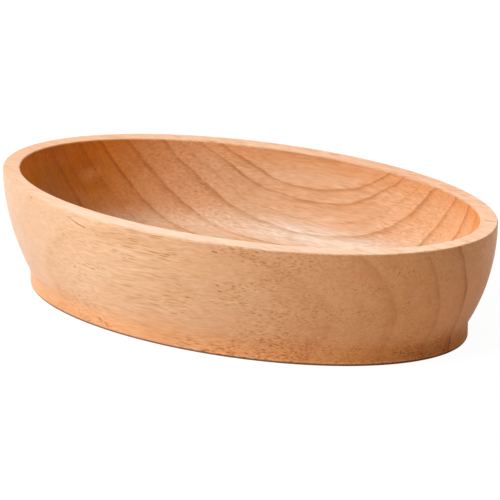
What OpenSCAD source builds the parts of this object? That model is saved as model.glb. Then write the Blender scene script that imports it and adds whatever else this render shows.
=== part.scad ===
/* [Bowl] */
// Length over the rim
bowl_length = 280; // [200:1:400]
// Width over the rim
bowl_width = 157; // [110:1:240]
// Height from the table to the rim
bowl_height = 64; // [48:1:110]

/* [Wall] */
// Thickness of the wall at the rim
wall = 9.4; // [6:0.2:16]
// Width of the small bevel on the rim's inner and outer edge
rim_bevel = 1; // [0.4:0.1:2.5]

/* [Foot] */
// Height at which the wall meets the foot
foot_height = 9; // [5:0.5:16]
// How far the rim stands out past the foot at the bowl's ends
overhang = 14.8; // [6:0.2:24]
// Width of the small bevel on the foot's lower edge
foot_bevel = 0.6; // [0.2:0.1:2]

/* [Hollow] */
// Thickness of the floor
floor_thickness = 15; // [8:0.5:24]
// How far the hollow's ends draw in from the rim down to the floor
draw_in = 17; // [8:0.5:30]
// Radius of the cove between the wall and the floor at the hollow's ends
cove = 25; // [8:1:40]

/* [Hidden] */
$fa = 2;
$fs = 0.5;

// Profiles are drawn at one end of the bowl, with X outwards from the middle and Y up
half_length = bowl_length / 2;
// Both walls start upright at this level, and the rim is bevelled above it
brow = bowl_height - rim_bevel;
// How far a piece of a profile runs past its neighbour, or a cutter past what it cuts
overrun = 4;
// Arcs that blend into each other cross by this much, so that their outline closes
lap = 0.02;

// Radius, to a hundredth, of an arc that starts upright and comes in by some distance over a drop
function arc_radius(drop, inset) = round(50 * (drop * drop + inset * inset) / inset) / 100;

// Outside: one arc from the rim down to the foot's upright side
foot_radius = half_length - overhang;
outside_radius = arc_radius(brow - foot_height, overhang);
outside_middle = [half_length - outside_radius, brow];

// Inside: one arc from the rim towards the floor, and a cove that touches both
mouth = half_length - wall;
depth = brow - floor_thickness;
inside_radius = arc_radius(depth, draw_in);
inside_middle = [mouth - inside_radius, brow];
// The cove is at most as tall as the hollow is deep
cove_radius = min(cove, depth - lap);
cove_drop = depth - cove_radius;
cove_reach = inside_radius - cove_radius;
cove_middle = [
    inside_middle.x + sqrt(cove_reach * cove_reach - cove_drop * cove_drop) + lap,
    brow - cove_drop
];
// Level at which the cove meets the wall
cove_top = brow - cove_drop * inside_radius / cove_reach;

// Profiles are narrowed across the bowl, so that the wall is as thick at its sides as at its ends
outside_narrowing = bowl_width / bowl_length;
hollow_narrowing = (bowl_width - 2 * wall) / (bowl_length - 2 * wall);

// What a wall's arc takes in between a level and the brow, from the bowl's middle outwards
module wall_band(middle, radius, level) {
    translate([0, level]) square([max(middle.x, overrun), brow - level]);
    intersection() {
        translate(middle) circle(r = radius);
        translate([0, level]) square([bowl_length, brow - level]);
    }
}

// From the foot's flat underside to the rim
module outside_profile() {
    polygon([
        [0, 0],
        [foot_radius - foot_bevel, 0],
        [foot_radius, foot_bevel],
        [foot_radius, foot_height + overrun],
        [0, foot_height + overrun]
    ]);
    wall_band(outside_middle, outside_radius, foot_height - overrun);
    polygon([
        [0, brow],
        [half_length, brow],
        [half_length - rim_bevel, bowl_height],
        [0, bowl_height]
    ]);
}

// From the floor to above the rim
module hollow_profile() {
    translate([0, floor_thickness]) square([cove_middle.x, depth]);
    translate(cove_middle) circle(r = cove_radius);
    wall_band(inside_middle, inside_radius, cove_top);
    polygon([
        [0, brow],
        [mouth, brow],
        [mouth + rim_bevel + overrun, bowl_height + overrun],
        [0, bowl_height + overrun]
    ]);
}

// Turns a profile about the bowl's middle, a quarter at a time, and narrows it across
module oval(narrowing) {
    for (quarter = [0 : 3])
        scale([1, narrowing, 1]) rotate_extrude(angle = 90, start = 90 * quarter)
            intersection() {
                children();
                square([bowl_length, bowl_height + overrun]);
            }
}

// One block of wood, shaped outside and hollowed
module bowl() {
    color("burlywood") difference() {
        oval(outside_narrowing) outside_profile();
        oval(hollow_narrowing) hollow_profile();
    }
}

bowl();
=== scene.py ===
import math
from functools import reduce
from operator import add, mul

import bpy
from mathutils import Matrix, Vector


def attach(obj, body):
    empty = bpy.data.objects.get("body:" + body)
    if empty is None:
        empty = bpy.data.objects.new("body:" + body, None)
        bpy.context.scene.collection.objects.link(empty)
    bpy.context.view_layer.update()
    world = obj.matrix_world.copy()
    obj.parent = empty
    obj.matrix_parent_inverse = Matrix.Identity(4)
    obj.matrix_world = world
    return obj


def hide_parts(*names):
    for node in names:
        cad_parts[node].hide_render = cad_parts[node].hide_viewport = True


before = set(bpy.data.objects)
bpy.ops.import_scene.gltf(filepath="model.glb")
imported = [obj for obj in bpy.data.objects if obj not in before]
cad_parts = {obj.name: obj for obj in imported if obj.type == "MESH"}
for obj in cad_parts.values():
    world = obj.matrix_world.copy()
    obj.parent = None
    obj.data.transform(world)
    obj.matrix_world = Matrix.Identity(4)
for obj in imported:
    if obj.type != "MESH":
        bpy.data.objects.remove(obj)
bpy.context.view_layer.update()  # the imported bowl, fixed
scene = bpy.context.scene
scene.view_settings.view_transform = "Standard"
print("frame loaded with nodes", sorted(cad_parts))


class Wire:
    # one output in a node tree; plain signs on it add Math nodes

    def __init__(self, tree, socket=None):
        self.tree = tree
        self.socket = socket

    def add(self, kind, settings=None, sockets=None, out=0):
        node = self.tree.nodes.new(kind)
        node.location.x = 40 * len(self.tree.nodes)
        for name, value in (settings or {}).items():
            if name == "stops":
                self.fillRamp(node.color_ramp.elements, value)
            else:
                setattr(node, name, value)
        for name, value in (sockets or {}).items():
            for one in value if isinstance(value, list) else [value]:
                if isinstance(one, Wire):
                    self.tree.links.new(one.socket, node.inputs[name])
                else:
                    node.inputs[name].default_value = one
        return Wire(self.tree, node.outputs[out] if node.outputs else None)

    def fillRamp(self, elements, stops):
        for place, tone in stops[1:-1]:
            elements.new(place).color = tone
        for end in (0, -1):
            elements[end].position, elements[end].color = stops[end]

    def math(self, operation, *values):
        return self.add("ShaderNodeMath", {"operation": operation}, dict(enumerate(values)))

    def __add__(self, other): return self.math("ADD", self, other)
    def __radd__(self, other): return self.math("ADD", other, self)
    def __sub__(self, other): return self.math("SUBTRACT", self, other)
    def __rsub__(self, other): return self.math("SUBTRACT", other, self)
    def __mul__(self, other): return self.math("MULTIPLY", self, other)
    def __rmul__(self, other): return self.math("MULTIPLY", other, self)
    def __truediv__(self, other): return self.math("DIVIDE", self, other)
    def __rtruediv__(self, other): return self.math("DIVIDE", other, self)
    def __pow__(self, other): return self.math("POWER", self, other)
    def __abs__(self): return self.math("ABSOLUTE", self)

    def parts(self):
        split = self.add("ShaderNodeSeparateXYZ", {}, {0: self}).socket.node
        return [Wire(self.tree, socket) for socket in split.outputs]

    def joined(self, x, y, z):
        return self.add("ShaderNodeCombineXYZ", {}, {0: x, 1: y, 2: z})

    def vector(self, operation, *values, out=0):
        settings = {"operation": operation}
        return self.add("ShaderNodeVectorMath", settings, dict(enumerate(values)), out)

    def moved(self, shift):
        return self.vector("ADD", self, shift)

    def stretched(self, length, width):
        # so that one step of a pattern is this long along the first axis and this wide across it
        return self.vector("DIVIDE", self, (length, width, width))

    def rise(self, low, high):
        # 0 below low, 1 above high, smooth between; high may be the smaller one
        settings = {"interpolation_type": "SMOOTHSTEP"}
        return self.add("ShaderNodeMapRange", settings, {0: self, 1: low, 2: high})

    def clamped(self):
        return self.add("ShaderNodeClamp", {}, {0: self})

    def noise(self, detail, roughness=0.5):
        # the wire is the place; the result lies about 0, mostly within 1 either way
        sockets = {"Vector": self, "Scale": 1.0, "Detail": detail, "Roughness": roughness}
        return (self.add("ShaderNodeTexNoise", {}, sockets) - 0.5) * 4


# camera, at the photograph's angle and distance

cameraView = {
    "place": (0.7412, -1.4086, 0.6246),
    "aim": (-0.0024, 0.0107, 0.0271),
    "lens": 232.5,
    "sensor": 36,
    "seesAsFarAs": 50,
}

camera = bpy.data.objects.new("camera", bpy.data.cameras.new("camera"))
camera.data.sensor_width = cameraView["sensor"]
camera.data.lens = cameraView["lens"]
camera.data.clip_end = cameraView["seesAsFarAs"]
camera.location = cameraView["place"]
lookAlong = Vector(cameraView["aim"]) - Vector(cameraView["place"])
camera.rotation_euler = lookAlong.to_track_quat("-Z", "Y").to_euler()
scene.collection.objects.link(camera)
scene.camera = camera
print("camera set")


# bowl, one carved block: every level is an oval, so the shape is a profile turned and narrowed

bowlSizes = {  # metres
    "Length": 0.280,
    "Width": 0.157,
    "Height": 0.064,
    "Wall": 0.0094,
    "Foot Height": 0.009,
    "Overhang": 0.0148,
    "Floor": 0.015,
    "Draw In": 0.017,
    "Cove": 0.025,
    "Rim Round": 0.0008,
    "Crease Round": 0.0022,
    "Base Round": 0.0007,
}
bowlFaces = {"Around": 289, "Round Rows": 9, "Wall Rows": 90, "Flat Rows": 26}
weldReach = 0.00001  # metres; closes the seams and poles
quarterTurn = math.pi / 2


def ovalSheet(tree, rows, around, level):
    # level gives half length, half width and height for a row that runs from 0 to 1
    start = Wire(tree)
    sides = {"Size X": 1, "Size Y": 1, "Vertices X": rows, "Vertices Y": around}
    grid = start.add("GeometryNodeMeshGrid", {}, sides)
    across, along, _ = start.add("GeometryNodeInputPosition").parts()
    row = across + 0.5
    turn = (along + 0.5) * (-2 * math.pi)  # this way round, faces point outwards
    halfLength, halfWidth, height = level(row)
    onOval = row.joined(
        halfLength * turn.math("COSINE", turn), halfWidth * turn.math("SINE", turn), height)
    return start.add("GeometryNodeSetPosition", {}, {"Geometry": grid, "Position": onOval})


def makeBowlTree():
    tree = bpy.data.node_groups.new("oval bowl", "GeometryNodeTree")
    tree.interface.new_socket("Mesh", in_out="OUTPUT", socket_type="NodeSocketGeometry")
    for values, kind in ((bowlSizes, "NodeSocketFloat"), (bowlFaces, "NodeSocketInt")):
        for name, value in values.items():
            socket = tree.interface.new_socket(name, in_out="INPUT", socket_type=kind)
            socket.default_value = value
    tree.interface.new_socket("Wood", in_out="INPUT", socket_type="NodeSocketMaterial")
    source = tree.nodes.new("NodeGroupInput")
    size = {s.name: Wire(tree, s) for s in source.outputs if s.name}
    start = Wire(tree)

    half, halfWidth = size["Length"] / 2, size["Width"] / 2
    top, wall = size["Height"], size["Wall"]
    rimRound, baseRound = size["Rim Round"], size["Base Round"]
    brow = top - rimRound  # both walls are upright here
    mouth = half - wall
    foot = half - size["Overhang"]
    floor = size["Floor"]
    narrowOut = halfWidth / half
    narrowIn = (halfWidth - wall) / mouth
    evenly = half - halfWidth  # half length less half width, all along the rim

    def arcRadius(drop, inset):
        return (drop * drop + inset * inset) / (inset * 2)

    outRadius = arcRadius(brow - size["Foot Height"], size["Overhang"])
    inRadius = arcRadius(brow - floor, size["Draw In"])
    cove = size["Cove"]
    coveDrop = brow - floor - cove  # from the brow to the cove's middle
    coveReach = inRadius - cove
    coveSpan = start.math("SQRT", coveReach * coveReach - coveDrop * coveDrop)
    coveMiddle = mouth - inRadius + coveSpan
    coveTurn = start.math("ARCSINE", coveDrop / coveReach)  # the wall's lean where the cove starts

    def bow(radius, middle, height):
        drop = brow - height
        return middle + start.math("SQRT", radius * radius - drop * drop)

    def underside(row):
        edge = foot - baseRound
        reach = start.math("SINE", row * quarterTurn)
        return edge * reach, (foot * narrowOut - baseRound) * reach, row * 0

    def baseEdge(row):
        lean = row * quarterTurn
        inset = baseRound * (1 - start.math("SINE", lean))
        lift = baseRound * (1 - start.math("COSINE", lean))
        return foot - inset, foot * narrowOut - inset, lift

    def outside(row):
        height = baseRound + (brow - baseRound) * row
        bowed = bow(outRadius, half - outRadius, height)
        reach = start.math("SMOOTH_MAX", foot, bowed, size["Crease Round"])
        return reach, reach * narrowOut, height

    def outerEdge(row):
        lean = row * quarterTurn
        reach = half - rimRound * (1 - start.math("COSINE", lean))
        return reach, reach - evenly, brow + rimRound * start.math("SINE", lean)

    def rim(row):
        spread = (1 - start.math("COSINE", row * math.pi)) / 2
        reach = half - rimRound - (wall - rimRound * 2) * spread
        return reach, reach - evenly, top + row * 0

    def innerEdge(row):
        lean = row * quarterTurn
        reach = mouth + rimRound * (1 - start.math("SINE", lean))
        return reach, reach - evenly, brow + rimRound * start.math("COSINE", lean)

    def inside(row):
        height = brow - inRadius * start.math("SINE", coveTurn) * row
        reach = bow(inRadius, mouth - inRadius, height)
        return reach, reach * narrowIn, height

    def coveEdge(row):
        lean = coveTurn + (quarterTurn - coveTurn) * row
        reach = coveMiddle + cove * start.math("COSINE", lean)
        return reach, reach * narrowIn, floor + cove * (1 - start.math("SINE", lean))

    def bottom(row):
        reach = coveMiddle * start.math("COSINE", row * quarterTurn)
        return reach, reach * narrowIn, floor + row * 0

    around, few, many, flat = (size[name] for name in bowlFaces)
    sheets = [
        ovalSheet(tree, rows, around, level)
        for level, rows in (
            (underside, flat), (baseEdge, few), (outside, many), (outerEdge, few), (rim, flat),
            (innerEdge, few), (inside, many), (coveEdge, flat), (bottom, flat),
        )
    ]
    mesh = start.add("GeometryNodeJoinGeometry", {}, {0: sheets[::-1]})
    mesh = start.add("GeometryNodeMergeByDistance", {}, {"Geometry": mesh, "Distance": weldReach})
    mesh = start.add("GeometryNodeSetShadeSmooth", {}, {"Geometry": mesh})
    mesh = start.add("GeometryNodeRealizeInstances", {}, {"Geometry": mesh})
    mesh = start.add("GeometryNodeSetMaterial", {}, {"Geometry": mesh, "Material": size["Wood"]})
    tree.links.new(mesh.socket, tree.nodes.new("NodeGroupOutput").inputs[0])
    return tree


def makeBowl(wood):
    bowl = bpy.data.objects.new("carved_bowl", bpy.data.meshes.new("carved_bowl"))
    scene.collection.objects.link(bowl)
    turning = bowl.modifiers.new("turning", "NODES")
    turning.node_group = makeBowlTree()
    given = {**bowlSizes, **bowlFaces, "Wood": wood}
    for item in turning.node_group.interface.items_tree:
        if item.in_out == "INPUT":
            turning[item.identifier] = given[item.name]
    shaped = bowl.evaluated_get(bpy.context.evaluated_depsgraph_get())
    made = bpy.data.meshes.new_from_object(shaped)
    bowl.modifiers.clear()
    bowl.data = made
    return bowl


# wood: growth rings round the heart of the tree, which lay in front of the bowl and along it

millimetres = 1000  # in a metre

woodGrain = {  # millimetres; a pair is a length along the tree and a width across it
    "heart": (-155.7, 1.8),  # across and up, at the bowl's middle
    "heartLean": (-0.027, 0.043),  # per millimetre along the bowl
    "heartWaves": 0.3,  # how far the rings sway
    "fibreLean": (-0.09, 0.01),  # the fibres wind round the heart a little
    "fibreWaves": 0.6,
    "wave": (20, 8),
    # outer edge of each year's growth, from the heart, and how dark the wood gets there
    "years": [
        (70, 0.1), (84, 0.14), (99.3, 0.24), (107, 0.08), (115.8, 0.31), (120.4, 0.1),
        (132.8, 0.27), (146.8, 0.5), (158, 0.1), (169.5, 0.34), (180.8, 0.6), (185.6, 0.26),
        (194.6, 0.36), (202.2, 0.54), (210.3, 0.50), (218.5, 0.50), (221.7, 0.22), (225.4, 0.50),
        (227.8, 0.50), (233, 0.38), (238, 0.42), (250, 0.42),
    ],
    "slowWobble": ((60, 20), 0.5),  # and how far
    "quickWobble": ((14, 4), 0.14),
    "fading": ((45, 14), 0.35),  # and how much
    "sharpYears": (118, 135),  # from the heart; nearer to it, years end softly
    "lateGrowth": 1.8,  # the higher, the later in its year the wood darkens
    "lateEdge": (0.82, 0.98),  # share of a year in which a sharp dark edge comes
    "softEnd": 0.4,  # share of the next year in which the dark fades away
    "sharpEnd": 0.08,
    "ripple": (9.0, 0.95),
    "fibre": (70, 2.6),
    "cloud": (60, 18),
    "blush": (26, 9),
    "patch": (40, 11),
    # tubes: the room of each, its edge and core as a share of it, and the patches that have them
    "pore": ((14.0, 0.9), (0.42, 0.2), (-1.2, 0.6)),
    "vessel": ((24.0, 3.2), (0.16, 0.1), (-0.2, 0.5)),
    "speck": ((5.0, 1.0), (0.45, 0.2), (-0.9, 0.6)),
    "streak": (50.0, 25.0, 1.3),  # along the tree, up, and out from the heart
    "band": (50.0, 25.0, 4.55),
    "marks": [  # from, to, width and strength
        ((-66.5, -69.1, 60.7), (-60.9, -70.6, 58.9), 0.40, 0.75),  # drying crack
        ((-60.9, -70.6, 58.9), (-54.6, -72.2, 57.7), 0.50, 1.15),
        ((22.4, -77.4, 59.75), (24.8, -77.2, 59.5), 0.60, 1.1),  # open pores
        ((24.0, -76.0, 41.5), (25.2, -76.0, 41.3), 0.60, 0.9),
        ((32.6, -75.2, 42.2), (33.8, -75.0, 42.0), 0.60, 0.8),
        ((24.7, -75.5, 38.2), (26.2, -75.4, 38.0), 0.65, 0.9),
        ((-51.5, -64.0, 5.4), (-50.2, -64.5, 4.3), 0.50, 0.8),
        ((-47.6, -64.8, 4.0), (-45.8, -65.3, 2.6), 0.55, 1.0),
        ((-110.8, 35.0, 47.4), (-110.7, 35.1, 47.1), 0.90, 0.8),  # pin knot
        ((-59.3, 59.6, 40.6), (-53.6, 60.6, 38.3), 0.40, 0.7),  # nicks
        ((121.0, -38.5, 63.9), (121.5, -38.2, 63.9), 0.60, 0.9),
        ((134.7, -19.8, 63.8), (135.1, -19.3, 63.8), 0.60, 0.9),
        ((117.6, 30.5, 63.6), (127.5, 25.8, 64.0), 0.50, 0.35),
        ((127.3, -12.8, 16.5), (123.9, -10.9, 9.2), 0.50, 0.55),  # split along a year's edge
        ((123.9, -10.9, 9.2), (123.4, -11.9, 0.8), 0.60, 1.3),
    ],
    "markCore": 0.3,  # share of a mark's width that has its full strength
    "knot": ((-112.3, 32.0, 45.2), (6.5, 9.1, 5.2)),  # pale wood round the pin knot, and its reach
}

# finish: how the grain, oil, washing, pores and dirt, and painted shade, sheen and highlights, add up
# from place to place
# a row is an amount and what it is multiplied by: a part of the bowl, a pattern in the wood,
# or a smooth step along x, y, z, a face's direction or a pattern, with where it is 0 and where it is 1

woodFinish = {
    "tones": [  # palest to deepest
        (0.00, (0.86, 0.52, 0.300, 1)),
        (0.30, (0.82, 0.455, 0.238, 1)),
        (0.50, (0.745, 0.385, 0.184, 1)),
        (0.75, (0.63, 0.29, 0.118, 1)),
        (1.00, (0.45, 0.17, 0.052, 1)),
    ],
    "tints": {  # what each does to a tone, and the most of it, in the order they are laid on
        # oil in the wood, and painted shade laid on with the same tint
        "oiled": ((0.985, 0.60, 0.22, 1), 2.0),
        # washed wood, and painted sheen and light laid on with the same tint
        "scrubbed": ((0.78, 0.94, 1.20, 1), 2.0),
        # pores and ripples, and painted shade laid on with the same tint
        "pitted": ((0.66, 0.40, 0.08, 1), 1.0),
        "grimed": ((0.42, 0.20, 0.04, 1), 1.0),
        # painted contact shadow, a neutral dark
        "soiled": ((0.27, 0.27, 0.28, 1), 1.0),
    },
    "ringStrength": [
        (1.0,),
        (-0.8, "rim"),
        (-0.3, "soaked"),
        (-0.8, "wall", ("x", -80, -105)),  # end grain on the left
    ],
    "tone": [
        (0.15,),  # between the rings
        (1.0, "ring"),
        (0.05, "fibre"),
        (0.07, "cloud"),
        (0.05, "streak"),
        (0.12, "streak", "soaked"),
        (0.16, "band", "soaked"),
        (0.03, "soaked"),
        (0.05, "hollow", ("x", 40, -40)),
        (-0.05, "hollow", ("x", 40, -40), ("upwards", 0.25, 0.55)),
        (-0.36, "knot"),
    ],
    "oiled": [
        (0.25, ("facing", 0.1, 0.7)),  # painted shade: the end grain that faces +x, away from the key lamp, goes deeper and more orange
        # painted shade at the hollow's left end, on top of its end grain
        (0.90, "soaked"),
        (-0.55, "soaked", ("upwards", 0.3, 0.65)),
        (0.12, "hollow", ("facing", -0.1, -0.5)),
        (0.34, "hollow", ("facing", -0.6, -0.9)),
        (0.06, "hollow", ("upwards", 0.9, 0.3)),
        (-0.20, "hollow", ("upwards", 0.15, 0.4), ("upwards", 0.85, 0.6)),  # round the cove
        (0.30, "hollow", ("sideways", -0.2, -0.7), ("z", 50, 61), ("x", -75, -20)),  # far brow
        # painted shade: the outer wall deepens towards its right end, away from the key lamp
        (0.55, "wall", ("x", -60, 125)),
        (0.14, "outside", ("facing", -0.4, -0.9)),
        (0.44, "rim"),
        (-0.20, "rim", ("y", 10, -40)),
        # painted shade near the floor: the foot deepens towards the bottom, least at the left end,
        # which faces the key lamp
        (0.46, "foot"),
        (-0.34, "foot", ("facing", -0.5, -0.9)),
        (-0.30, "foot", ("facing", -0.3, 0.8)),
        (0.15, "foot", ("facing", 0.8, 1.0)),
        (-0.13, "foot", ("x", -50, -20), ("x", 35, 0)),
        (0.08, "blush"),
        (-0.35, "knot"),
    ],
    # paler, cooler wood: partly washed, partly painted sheen in the hollow and painted light on the
    # left end
    "scrubbed": [
        (0.50, "hollow"),
        (0.75, "farHollow", ("upwards", 0.05, 0.6), ("x", -75, 10)),  # painted sheen on the floor and cove at the hollow's far side, most at the cove
        (0.1875, "farHollow", ("upwards", 0.05, 0.6), ("x", 10, 60)),
        (-0.45, "farHollow", ("upwards", 0.75, 0.95), ("x", -75, 10)),
        (-0.1125, "farHollow", ("upwards", 0.75, 0.95), ("x", 10, 60)),
        (-0.30, "hollow", ("eitherSide", 0.3, 0.8)),
        (-0.25, "hollow", ("facing", -0.4, -0.8)),
        (0.10, "hollow", ("x", 40, -40)),
        (-0.35, "hollow", ("z", 48, 60), ("x", 0, -40)),
        (0.30, "soaked"),
        # painted light on the left outer end, which faces the key lamp
        (0.45, "outside", ("facing", -0.1, -0.7)),
        (0.50, "rim"),
        (-0.30, "rim", ("x", 20, 120)),
    ],
    # how lively the pores and ripples are: by the way a face looks, along the bowl, and in patches
    "livelyFaces": [
        (1.0,),
        (-0.40, ("eitherEnd", 0.1, 0.6)),
        (0.30, "hollow", ("eitherEnd", 0.1, 0.6)),
        (-0.35, "hollow"),
        (0.60, "foot", ("facing", -0.1, 0.5)),
    ],
    "livelyAlong": [
        (0.3,),
        (0.60, ("x", -120, -30)),
        (0.45, "hollow", ("x", -20, -70)),
    ],
    "livelyPatches": [
        (0.8,),
        (0.50, ("patch", -0.8, 0.8)),
    ],
    "pitted": [
        (0.28, "ripple", "lively"),
        (0.20, "ripple", "lively", "hollow"),
        (0.07, "fibre"),
        (0.62, "pore", "lively"),
        (-0.36, "pore", "lively", "hollow"),
        (0.60, "vessel"),
        (-0.36, "vessel", "hollow"),
        # painted shade on the foot's right side, away from the key lamp
        (0.36, "foot", ("facing", 0.3, 1.0)),
        (0.85, "foot", ("facing", -0.4, 0.3), "speck"),
        (0.50, "foot", ("facing", -0.4, 0.3), "speck", ("facing", 0.2, 0.7)),
        (-0.119, "foot", ("facing", -0.4, 0.3)),  # as much as the specks add on the whole
        (-0.07, "foot", ("facing", -0.4, 0.3), ("facing", 0.2, 0.7)),
        (0.13, "foot", ("facing", -0.7, -0.3), ("facing", 0.4, 0.1)),
        (-0.40, "foot", ("z", 1.2, 1.6), ("z", 2.7, 2.1), ("x", 0, 40)),  # painted highlight just above the edge, where the rounded base catches the light
        (0.14, "hollow", ("sideways", -0.6, -0.95), ("z", 47, 42), ("x", -60, -30), ("x", 65, 35)),
        (0.10, "hollow", ("x", 70, 115)),
        (0.08, "hollow", ("x", -75, -50), ("x", -10, -30)),
        (0.16, "aroundKnot"),
        (-0.08, "rim", ("y", 10, -40)),
        (-0.16, ("x", 60, 0), ("x", -95, -50)),
        (-0.05, "wall", ("x", 40, 100)),
    ],
    "grimed": [
        (0.7, "marks"),
    ],
    "soiled": [
        (1.0, "foot", ("z", 1.35, 0.95), ("x", -118, -85)),  # painted contact shadow along the lowest edge, where the bowl meets the floor
    ],
    "roughness": [
        (0.36,),
        (0.05, "hollow", ("upwards", 0.5, 0.9)),
        (0.15, "pore"),
        (0.10, "ring"),
        (0.06, "rim"),
        (0.14, "rim", "behind"),
        (0.15, "foot"),
    ],
    "relief": [
        (-0.3, "ripple"),
        (-0.7, "pore"),
        (-1.0, "vessel"),
        (-1.0, "marks"),
    ],
    "reliefDepth": 0.00025,  # metres
    "reliefStrength": 0.25,
    "specular": 0.45,
}


def grey(value):
    return (value, value, value, 1)


def alongTree(place, lean, sway):
    # along, across and up a leaning tree instead of the bowl
    x, y, z = place.parts()
    wave = place.stretched(*woodGrain["wave"])
    across = y - woodGrain["heart"][0] - x * lean[0] + wave.noise(1.0) * sway
    up = z - woodGrain["heart"][1] - x * lean[1] + wave.moved((7, 3, 5)).noise(1.0) * sway
    return place.joined(x, across, up)


def distanceFromHeart(trunk):
    slow, slowReach = woodGrain["slowWobble"]
    quick, quickReach = woodGrain["quickWobble"]
    wobble = trunk.stretched(*slow).noise(1.0) * slowReach
    wobble = wobble + trunk.stretched(*quick).noise(1.5) * quickReach
    _, across, up = trunk.parts()
    return trunk.math("SQRT", across * across + up * up) + wobble


def growthRings(trunk, fromHeart):
    # each year darkens to its outer edge, and the dark fades into the next year
    years = woodGrain["years"]
    first, last, count = years[0][0], years[-1][0], len(years) - 1
    span = last - first
    yearStops = [((edge - first) / span, grey(i / count)) for i, (edge, _) in enumerate(years)]
    depthStops = [((i - 0.5) / count, grey(years[i][1])) for i in range(1, count + 1)]

    def ramp(stops, share):
        return trunk.add("ShaderNodeValToRGB", {"stops": stops}, {"Fac": share})

    def depthOf(which):
        return ramp(depthStops, (which + 0.5) / count)

    year = ramp(yearStops, (fromHeart - first) / span) * count
    whole = year.math("FLOOR", year)
    phase = year.math("FRACT", year)
    sharp = fromHeart.rise(*woodGrain["sharpYears"])
    late = phase ** woodGrain["lateGrowth"] * (1 - sharp * 0.5)
    late = late + phase.rise(*woodGrain["lateEdge"]) * sharp * 0.5
    end = woodGrain["softEnd"] - sharp * (woodGrain["softEnd"] - woodGrain["sharpEnd"])
    room, amount = woodGrain["fading"]
    fading = 1 + trunk.stretched(*room).noise(1.0) * amount
    return (depthOf(whole) * late + depthOf(whole - 1) * phase.rise(end, 0.0)) * fading


def markStrokes(place):
    # single marks, each a short stroke
    strokes = []
    for begin, end, width, strength in woodGrain["marks"]:
        span = Vector(end) - Vector(begin)
        reach = place.vector("SUBTRACT", place, begin)
        share = reach.vector("DOT_PRODUCT", reach, span / span.length_squared, out="Value")
        nearest = {0: span, "Scale": share.clamped()}
        nearest = place.add("ShaderNodeVectorMath", {"operation": "SCALE"}, nearest)
        away = reach.vector("DISTANCE", reach, nearest, out="Value")
        strokes.append(away.rise(width, width * woodGrain["markCore"]) * strength)
    return reduce(add, strokes)


def grainFields(place):
    # the patterns in the wood, by name
    x, y, z = place.parts()
    trunk = alongTree(place, woodGrain["heartLean"], woodGrain["heartWaves"])
    fibres = alongTree(place, woodGrain["fibreLean"], woodGrain["fibreWaves"])
    fromHeart = distanceFromHeart(trunk)
    _, _, up = trunk.parts()
    patch = fibres.stretched(*woodGrain["patch"]).noise(2.0)
    blush = fibres.stretched(*woodGrain["blush"]).moved((3, 8, 1)).noise(1.5)

    def tubes(room, edge, patches):
        # these show as dashes along the grain and as dots across it
        sockets = {"Vector": fibres.stretched(*room), "Scale": 1.0}
        cells = fibres.add("ShaderNodeTexVoronoi", {}, sockets, "Distance")
        return cells.rise(*edge) * patch.rise(*patches)

    def layers(long, tall, thin):
        return place.joined(x / long, up / tall, fromHeart / thin)

    middle, reach = woodGrain["knot"]
    toKnot = place.vector("DIVIDE", place.vector("SUBTRACT", place, middle), reach)
    toKnot = toKnot.vector("LENGTH", toKnot, out="Value")
    return {
        "ring": growthRings(trunk, fromHeart),
        "ripple": fibres.stretched(*woodGrain["ripple"]).noise(1.5),
        "fibre": fibres.stretched(*woodGrain["fibre"]).noise(2.5),
        "cloud": fibres.stretched(*woodGrain["cloud"]).noise(2.0),
        "patch": patch,
        "blush": blush,
        "pore": tubes(*woodGrain["pore"]),
        "vessel": tubes(*woodGrain["vessel"]),
        "speck": tubes(*woodGrain["speck"]),
        "streak": layers(*woodGrain["streak"]).noise(4.0, 0.6),
        "band": layers(*woodGrain["band"]).noise(1.0),
        "marks": markStrokes(place),
        "knot": toKnot.rise(1.0, 0.2) * (0.7 + blush * 0.4),
        "aroundKnot": toKnot.rise(2.2, 1.4) * toKnot.rise(0.7, 1.1),
    }


def bowlFields(place):
    # where a place lies and which way it faces, and the parts of the bowl, by name
    x, y, z = place.parts()
    facing, sideways, upwards = place.add("ShaderNodeTexCoord", out="Normal").parts()
    length, width, top = (bowlSizes[side] * millimetres for side in ("Length", "Width", "Height"))
    outwards = facing * x / (length / 2) + sideways * y / (width / 2)
    hollow = (upwards * 2 - outwards).rise(0.0, 0.5) * z.rise(top - 0.05, top - 0.6)
    rim = z.rise(top - 0.7, top - 0.1)
    return {
        "x": x, "y": y, "z": z,
        "facing": facing, "sideways": sideways, "upwards": upwards,
        "eitherEnd": abs(facing), "eitherSide": abs(sideways),
        "hollow": hollow,
        "farHollow": hollow * sideways.rise(0.5, 0.1) * facing.rise(-0.8, -0.4),
        "soaked": hollow * facing.rise(0.1, 0.7),  # end grain at the hollow's left end, out of the key lamp's reach: deeper partly for the grain, partly as painted shade
        "rim": rim,
        "outside": 1 - hollow,
        "wall": 1 - hollow - rim,
        "foot": z.rise(20.0, 3.0) * upwards.rise(-0.95, -0.6),  # all but its underside
        "behind": (x * 0.47 - y * 0.88).rise(40, -40),  # the half away from the photograph's side
    }


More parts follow.
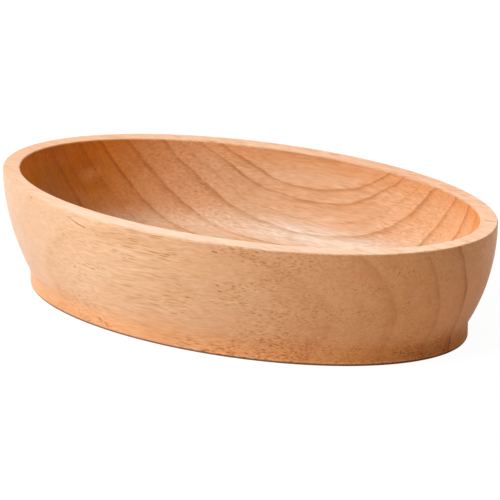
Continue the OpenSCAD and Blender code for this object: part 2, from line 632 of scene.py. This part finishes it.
def makeWood():
    wood = bpy.data.materials.new("oiled wood")
    wood.use_nodes = True
    wood.node_tree.nodes.clear()
    start = Wire(wood.node_tree)
    metres = start.add("ShaderNodeTexCoord", out="Object")
    place = start.add("ShaderNodeVectorMath", {"operation": "SCALE"}, {0: metres, "Scale": millimetres})
    fields = {**grainFields(place), **bowlFields(place)}
    steps = {}

    def factor(what):
        if isinstance(what, str):
            return fields[what]
        if what not in steps:
            name, low, high = what
            steps[what] = fields[name].rise(low, high)
        return steps[what]

    def total(name):
        rows = woodFinish[name]
        return reduce(add, (reduce(mul, map(factor, factors), amount) for amount, *factors in rows))

    fields["ring"] = fields["ring"] * total("ringStrength")
    fields["lively"] = total("livelyFaces") * total("livelyAlong") * total("livelyPatches")
    colour = start.add("ShaderNodeValToRGB", {"stops": woodFinish["tones"]}, {"Fac": total("tone")})
    multiply = {"data_type": "RGBA", "blend_type": "MULTIPLY", "clamp_factor": False}
    for name, (tint, most) in woodFinish["tints"].items():
        share = start.math("MINIMUM", total(name), most)
        sockets = {"Factor": share, "A": colour, "B": tint}
        colour = start.add("ShaderNodeMix", multiply, sockets, "Result")
    bump = start.add("ShaderNodeBump", {}, {
        "Height": total("relief"),
        "Strength": woodFinish["reliefStrength"],
        "Distance": woodFinish["reliefDepth"],
    })
    shader = start.add("ShaderNodeBsdfPrincipled", {}, {
        "Base Color": colour,
        "Roughness": total("roughness"),
        "Specular IOR Level": woodFinish["specular"],
        "Normal": bump,
    })
    start.add("ShaderNodeOutputMaterial", {}, {"Surface": shader})
    return wood


bowl = makeBowl(makeWood())
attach(bowl, "root")
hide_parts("bowl")
print("bowl made with", len(bowl.data.polygons), "faces")


# floor, background and lamps

studio = {
    "floorReach": 4.0,
    "floorTone": (0.8, 0.8, 0.8, 1),
    "whiteShare": 0.91,  # of what the camera sees of the floor; the rest shows the shadow
    "floorMirror": 0.15,  # of that white, for what is seen in a reflection
    "skyMirror": 0.5,
    "whiteGlow": 1.05,
    "skyGlow": 0.03,
    "lamps": {  # turned from the camera's side, height angle, distance, width, height, power
        "key": (280, 42, 2.2, 2.34, 1.38, 62.4),
        "back": (177, 21, 3.4, 3.0, 1.5, 41.0),
        "top": (0, 80, 1.6, 0.8, 0.8, 4.0),
        "side": (120, 30, 1.6, 1.0, 0.8, 5.9),
    },
}


def seen(start, share):
    # 1 for what the camera sees, and a share for what it sees in a reflection
    path = start.add("ShaderNodeLightPath").socket.node.outputs
    ways = ("Camera", "Glossy", "Transmission")
    straight, mirrored, through = (Wire(start.tree, path[f"Is {way} Ray"]) for way in ways)
    mirrored = mirrored.math("MAXIMUM", mirrored, through)
    return straight.math("MAXIMUM", straight, mirrored * share)


def makeFloor():
    far = studio["floorReach"]
    corners = [(-far, -far, 0), (far, -far, 0), (far, far, 0), (-far, far, 0)]
    mesh = bpy.data.meshes.new("floor")
    mesh.from_pydata(corners, [], [(0, 1, 2, 3)])
    pale = bpy.data.materials.new("pale floor")
    pale.use_nodes = True
    pale.node_tree.nodes.clear()
    start = Wire(pale.node_tree)
    matt = start.add("ShaderNodeBsdfDiffuse", {}, {"Color": studio["floorTone"]})
    white = start.add("ShaderNodeEmission", {}, {"Strength": studio["whiteGlow"]})
    share = seen(start, studio["floorMirror"]) * studio["whiteShare"]
    both = start.add("ShaderNodeMixShader", {}, {0: share, 1: matt, 2: white})
    start.add("ShaderNodeOutputMaterial", {}, {"Surface": both})
    mesh.materials.append(pale)
    floor = bpy.data.objects.new("floor", mesh)
    scene.collection.objects.link(floor)


def makeSky():
    scene.world = bpy.data.worlds.new("studio")
    scene.world.use_nodes = True
    tree = scene.world.node_tree
    tree.nodes.clear()
    start = Wire(tree)
    glow = seen(start, studio["skyMirror"]) * (1 - studio["skyGlow"]) + studio["skyGlow"]
    sky = start.add("ShaderNodeBackground", {}, {"Color": (1, 1, 1, 1), "Strength": glow})
    start.add("ShaderNodeOutputWorld", {}, {"Surface": sky})


def makeLamps():
    sideways = math.atan2(cameraView["place"][0], -cameraView["place"][1])
    for name, (turn, height, distance, width, tall, power) in studio["lamps"].items():
        lamp = bpy.data.objects.new(name, bpy.data.lights.new(name, "AREA"))
        lamp.data.shape = "RECTANGLE"
        lamp.data.size, lamp.data.size_y = width, tall
        lamp.data.energy = power
        around, lift = sideways + math.radians(turn), math.radians(height)
        level = math.cos(lift)
        towards = Vector((math.sin(around) * level, -math.cos(around) * level, math.sin(lift)))
        lamp.location = towards * distance
        lamp.rotation_euler = towards.to_track_quat("Z", "Y").to_euler()
        lamp.visible_camera = False
        scene.collection.objects.link(lamp)


makeFloor()
makeSky()
makeLamps()
print("studio set with", len(studio["lamps"]), "lamps")
